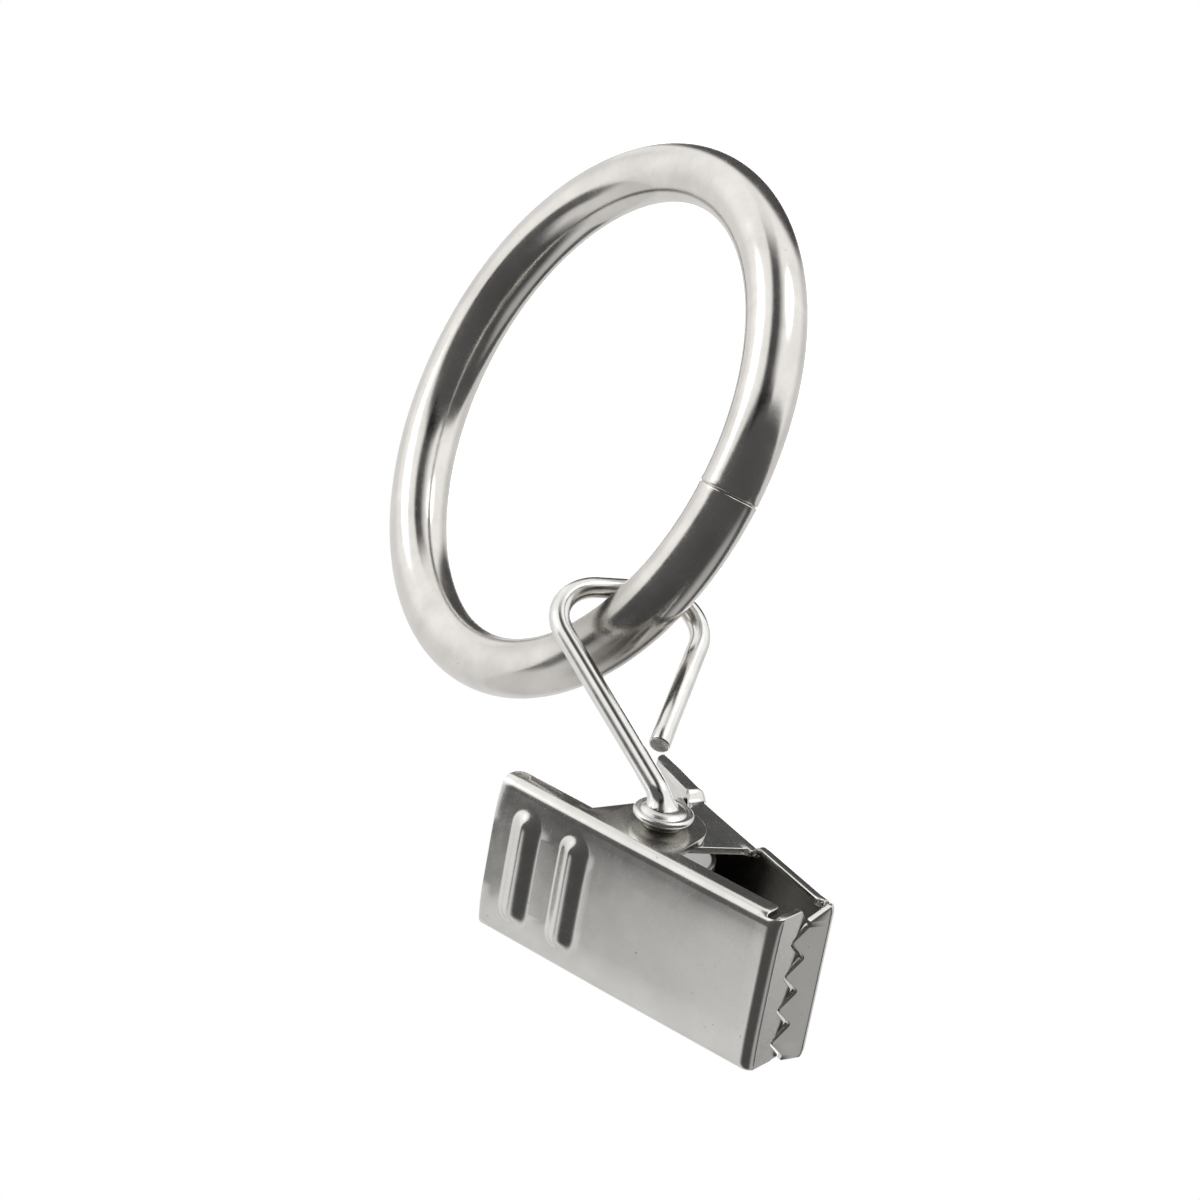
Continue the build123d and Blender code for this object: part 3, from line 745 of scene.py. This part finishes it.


# floor far below the hanging ring, plain to the camera, with painted dark reflections in its colour for glossy
# rays; soft lamps, and the room that the metal shows: two bright sides with a dark gap near the camera, a dark
# side below it and a dark spot overhead
studioSizes = {
    "floorSize": 3.0, "floorLevel": -0.42, "floorTint": (0.86, 0.86, 0.85), "floorRough": 0.85,
    "cameraSide": (0.657, -0.754, 0.0), "cameraLeft": (0.754, 0.657, 0.0),
    "overhead": (-0.04, 0.40, 0.915), "overheadTint": 0.085, "overheadFade": (0.88, 0.93), "gapFade": (0.70, 0.86),
    # bearing from the camera's side as a share of a full turn (0.5 is the camera), then brightness
    "room": ((0.0, 0.76), (0.22, 0.88), (0.27, 1.1), (0.462, 1.1), (0.484, 0.07), (0.54, 0.09), (0.595, 1.1),
             (0.775, 1.1), (0.84, 0.74), (0.93, 0.76), (1.0, 0.76)),
    # painted reflection: the floor's colour as glossy rays see it, by bearing, then darkened far out beside the
    # camera and round the spot under the clip
    "below": ((0.0, 0.82), (0.268, 0.90), (0.31, 0.065), (0.77, 0.065), (0.83, 0.50), (0.93, 0.6), (1.0, 0.82)),
    "under": (0.20, 0.42, 0.07), "underLeast": 0.08,
    "edge": ((0.0, 0.2), (0.235, 0.2), (0.26, 0.44), (0.33, 0.57), (0.48, 0.60), (0.58, 0.50), (0.62, 0.25),
             (1.0, 0.2)),
    "edgeFade": (-0.53, -0.46), "belowTint": 0.10,
    "beyond": (0.78, 0.96), "beyondSide": (0.225, 0.245), "beyondTint": 0.14,
    "lamps": {
        "backHigh": {"at": (-0.45, 0.55, 0.55), "size": 0.5, "power": 0.9},
        "leftSide": {"at": (-0.15, -0.80, 0.42), "size": 0.4, "power": 0.6},
        "rightSide": {"at": (0.80, 0.05, 0.45), "size": 0.4, "power": 0.6},
    },
    "lampAim": (0, 0, -0.02), "sky": 0.78,
}


# share of a full turn from straight behind, through the camera's side at one half
def bearing(tree, way, s):
    parts = [vectorWith(tree, "DOT_PRODUCT", way, s[key]) for key in ("cameraLeft", "cameraSide")]
    return ramp(tree, combine(tree, "ARCTAN2", *parts), -math.pi, math.pi, 0.0, 1.0)


def levels(tree, source, stops):
    node = addNode(tree, "ShaderNodeValToRGB", [("Fac", source)])
    marks = node.color_ramp.elements
    for i, (place, level) in enumerate(stops):
        mark = marks[i] if i < 2 else marks.new(place)
        mark.position, mark.color = place, (level, level, level, 1)
    return node.outputs[0]


def makeStudio(s):
    bm = bmesh.new()
    bmesh.ops.create_grid(bm, x_segments=2, y_segments=2, size=s["floorSize"])
    bmesh.ops.translate(bm, verts=bm.verts, vec=(0, 0, s["floorLevel"]))
    mesh = bpy.data.meshes.new("studioFloor")
    bm.to_mesh(mesh)
    bm.free()
    floor = bpy.data.objects.new("studioFloor", mesh)
    bpy.context.scene.collection.objects.link(floor)
    material, tree, paint = freshMaterial("floorWithPaintedReflection")
    paint.inputs["Roughness"].default_value = s["floorRough"]
    ray = addNode(tree, "ShaderNodeLightPath").outputs
    spot = addNode(tree, "ShaderNodeTexCoord").outputs["Object"]
    flat = vectorWith(tree, "MULTIPLY", spot, (1, 1, 0), "Vector")
    far = addNode(tree, "ShaderNodeVectorMath", [(0, flat)], operation="LENGTH").outputs["Value"]
    turn = bearing(tree, spot, s)
    # painted reflection: glossy rays see the floor darkened by bearing, far out beside the camera and round the
    # spot under the clip; camera and diffuse rays see the plain tint
    shade = levels(tree, turn, s["below"])
    beyond = combine(tree, "MULTIPLY", ramp(tree, far, *s["beyond"], 0.0, 1.0),
                     ramp(tree, turn, *s["beyondSide"], 0.0, 1.0))
    shade = combine(tree, "MULTIPLY", shade, ramp(tree, beyond, 0.0, 1.0, 1.0, s["beyondTint"]))
    near, wide, dark = s["under"]
    shade = combine(tree, "MULTIPLY", shade, ramp(tree, far, near, wide, dark, 1.0))
    shade = combine(tree, "MAXIMUM", shade, ramp(tree, far, near, wide, dark, s["underLeast"]))
    tint = addNode(tree, "ShaderNodeMix", [("Factor", ray["Is Glossy Ray"]), (7, shade)], data_type="RGBA")
    tint.inputs[6].default_value = (*s["floorTint"], 1)
    tree.links.new(tint.outputs[2], paint.inputs["Base Color"])
    mesh.materials.append(material)
    for name, lamp in s["lamps"].items():
        data = bpy.data.lights.new(name, "AREA")
        data.shape, data.size, data.energy = "DISK", lamp["size"], lamp["power"]
        light = bpy.data.objects.new(name, data)
        bpy.context.scene.collection.objects.link(light)
        light.location = lamp["at"]
        light.rotation_mode = "QUATERNION"
        light.rotation_quaternion = (Vector(lamp["at"]) - Vector(s["lampAim"])).to_track_quat("Z", "Y")
    world = bpy.data.worlds.new("studioAir")
    bpy.context.scene.world = world
    world.use_nodes = True
    tree = world.node_tree
    tree.nodes.clear()
    ray = addNode(tree, "ShaderNodeLightPath").outputs
    way = addNode(tree, "ShaderNodeTexCoord").outputs["Generated"]
    tilt = addNode(tree, "ShaderNodeSeparateXYZ", [("Vector", way)]).outputs["Z"]
    turn = bearing(tree, way, s)
    high = ramp(tree, tilt, *s["gapFade"], 0.0, 1.0)          # the gap closes higher up
    sides = combine(tree, "MAXIMUM", levels(tree, turn, s["room"]), high)
    raised = combine(tree, "SUBTRACT", tilt, levels(tree, turn, s["edge"]))
    low = ramp(tree, raised, *s["edgeFade"], s["belowTint"], 1.0)
    up = vectorWith(tree, "DOT_PRODUCT", way, s["overhead"])
    top = ramp(tree, up, *s["overheadFade"], 1.0, s["overheadTint"])
    shade = combine(tree, "MULTIPLY", combine(tree, "MULTIPLY", sides, low), top)
    soft = addNode(tree, "ShaderNodeBackground", [("Color", shade)]).outputs[0]
    plain = addNode(tree, "ShaderNodeBackground", Color=(1, 1, 1, 1), Strength=s["sky"]).outputs[0]
    white = addNode(tree, "ShaderNodeBackground", Color=(1, 1, 1, 1)).outputs[0]
    seen = combine(tree, "MAXIMUM", ray["Is Camera Ray"], ray["Is Transmission Ray"])
    first = addNode(tree, "ShaderNodeMixShader", [(0, ray["Is Glossy Ray"]), (1, plain), (2, soft)]).outputs[0]
    second = addNode(tree, "ShaderNodeMixShader", [(0, seen), (1, first), (2, white)]).outputs[0]
    addNode(tree, "ShaderNodeOutputWorld", [("Surface", second)])


makeStudio(studioSizes)
bpy.context.scene.view_settings.view_transform = "Standard"
print("studio made")
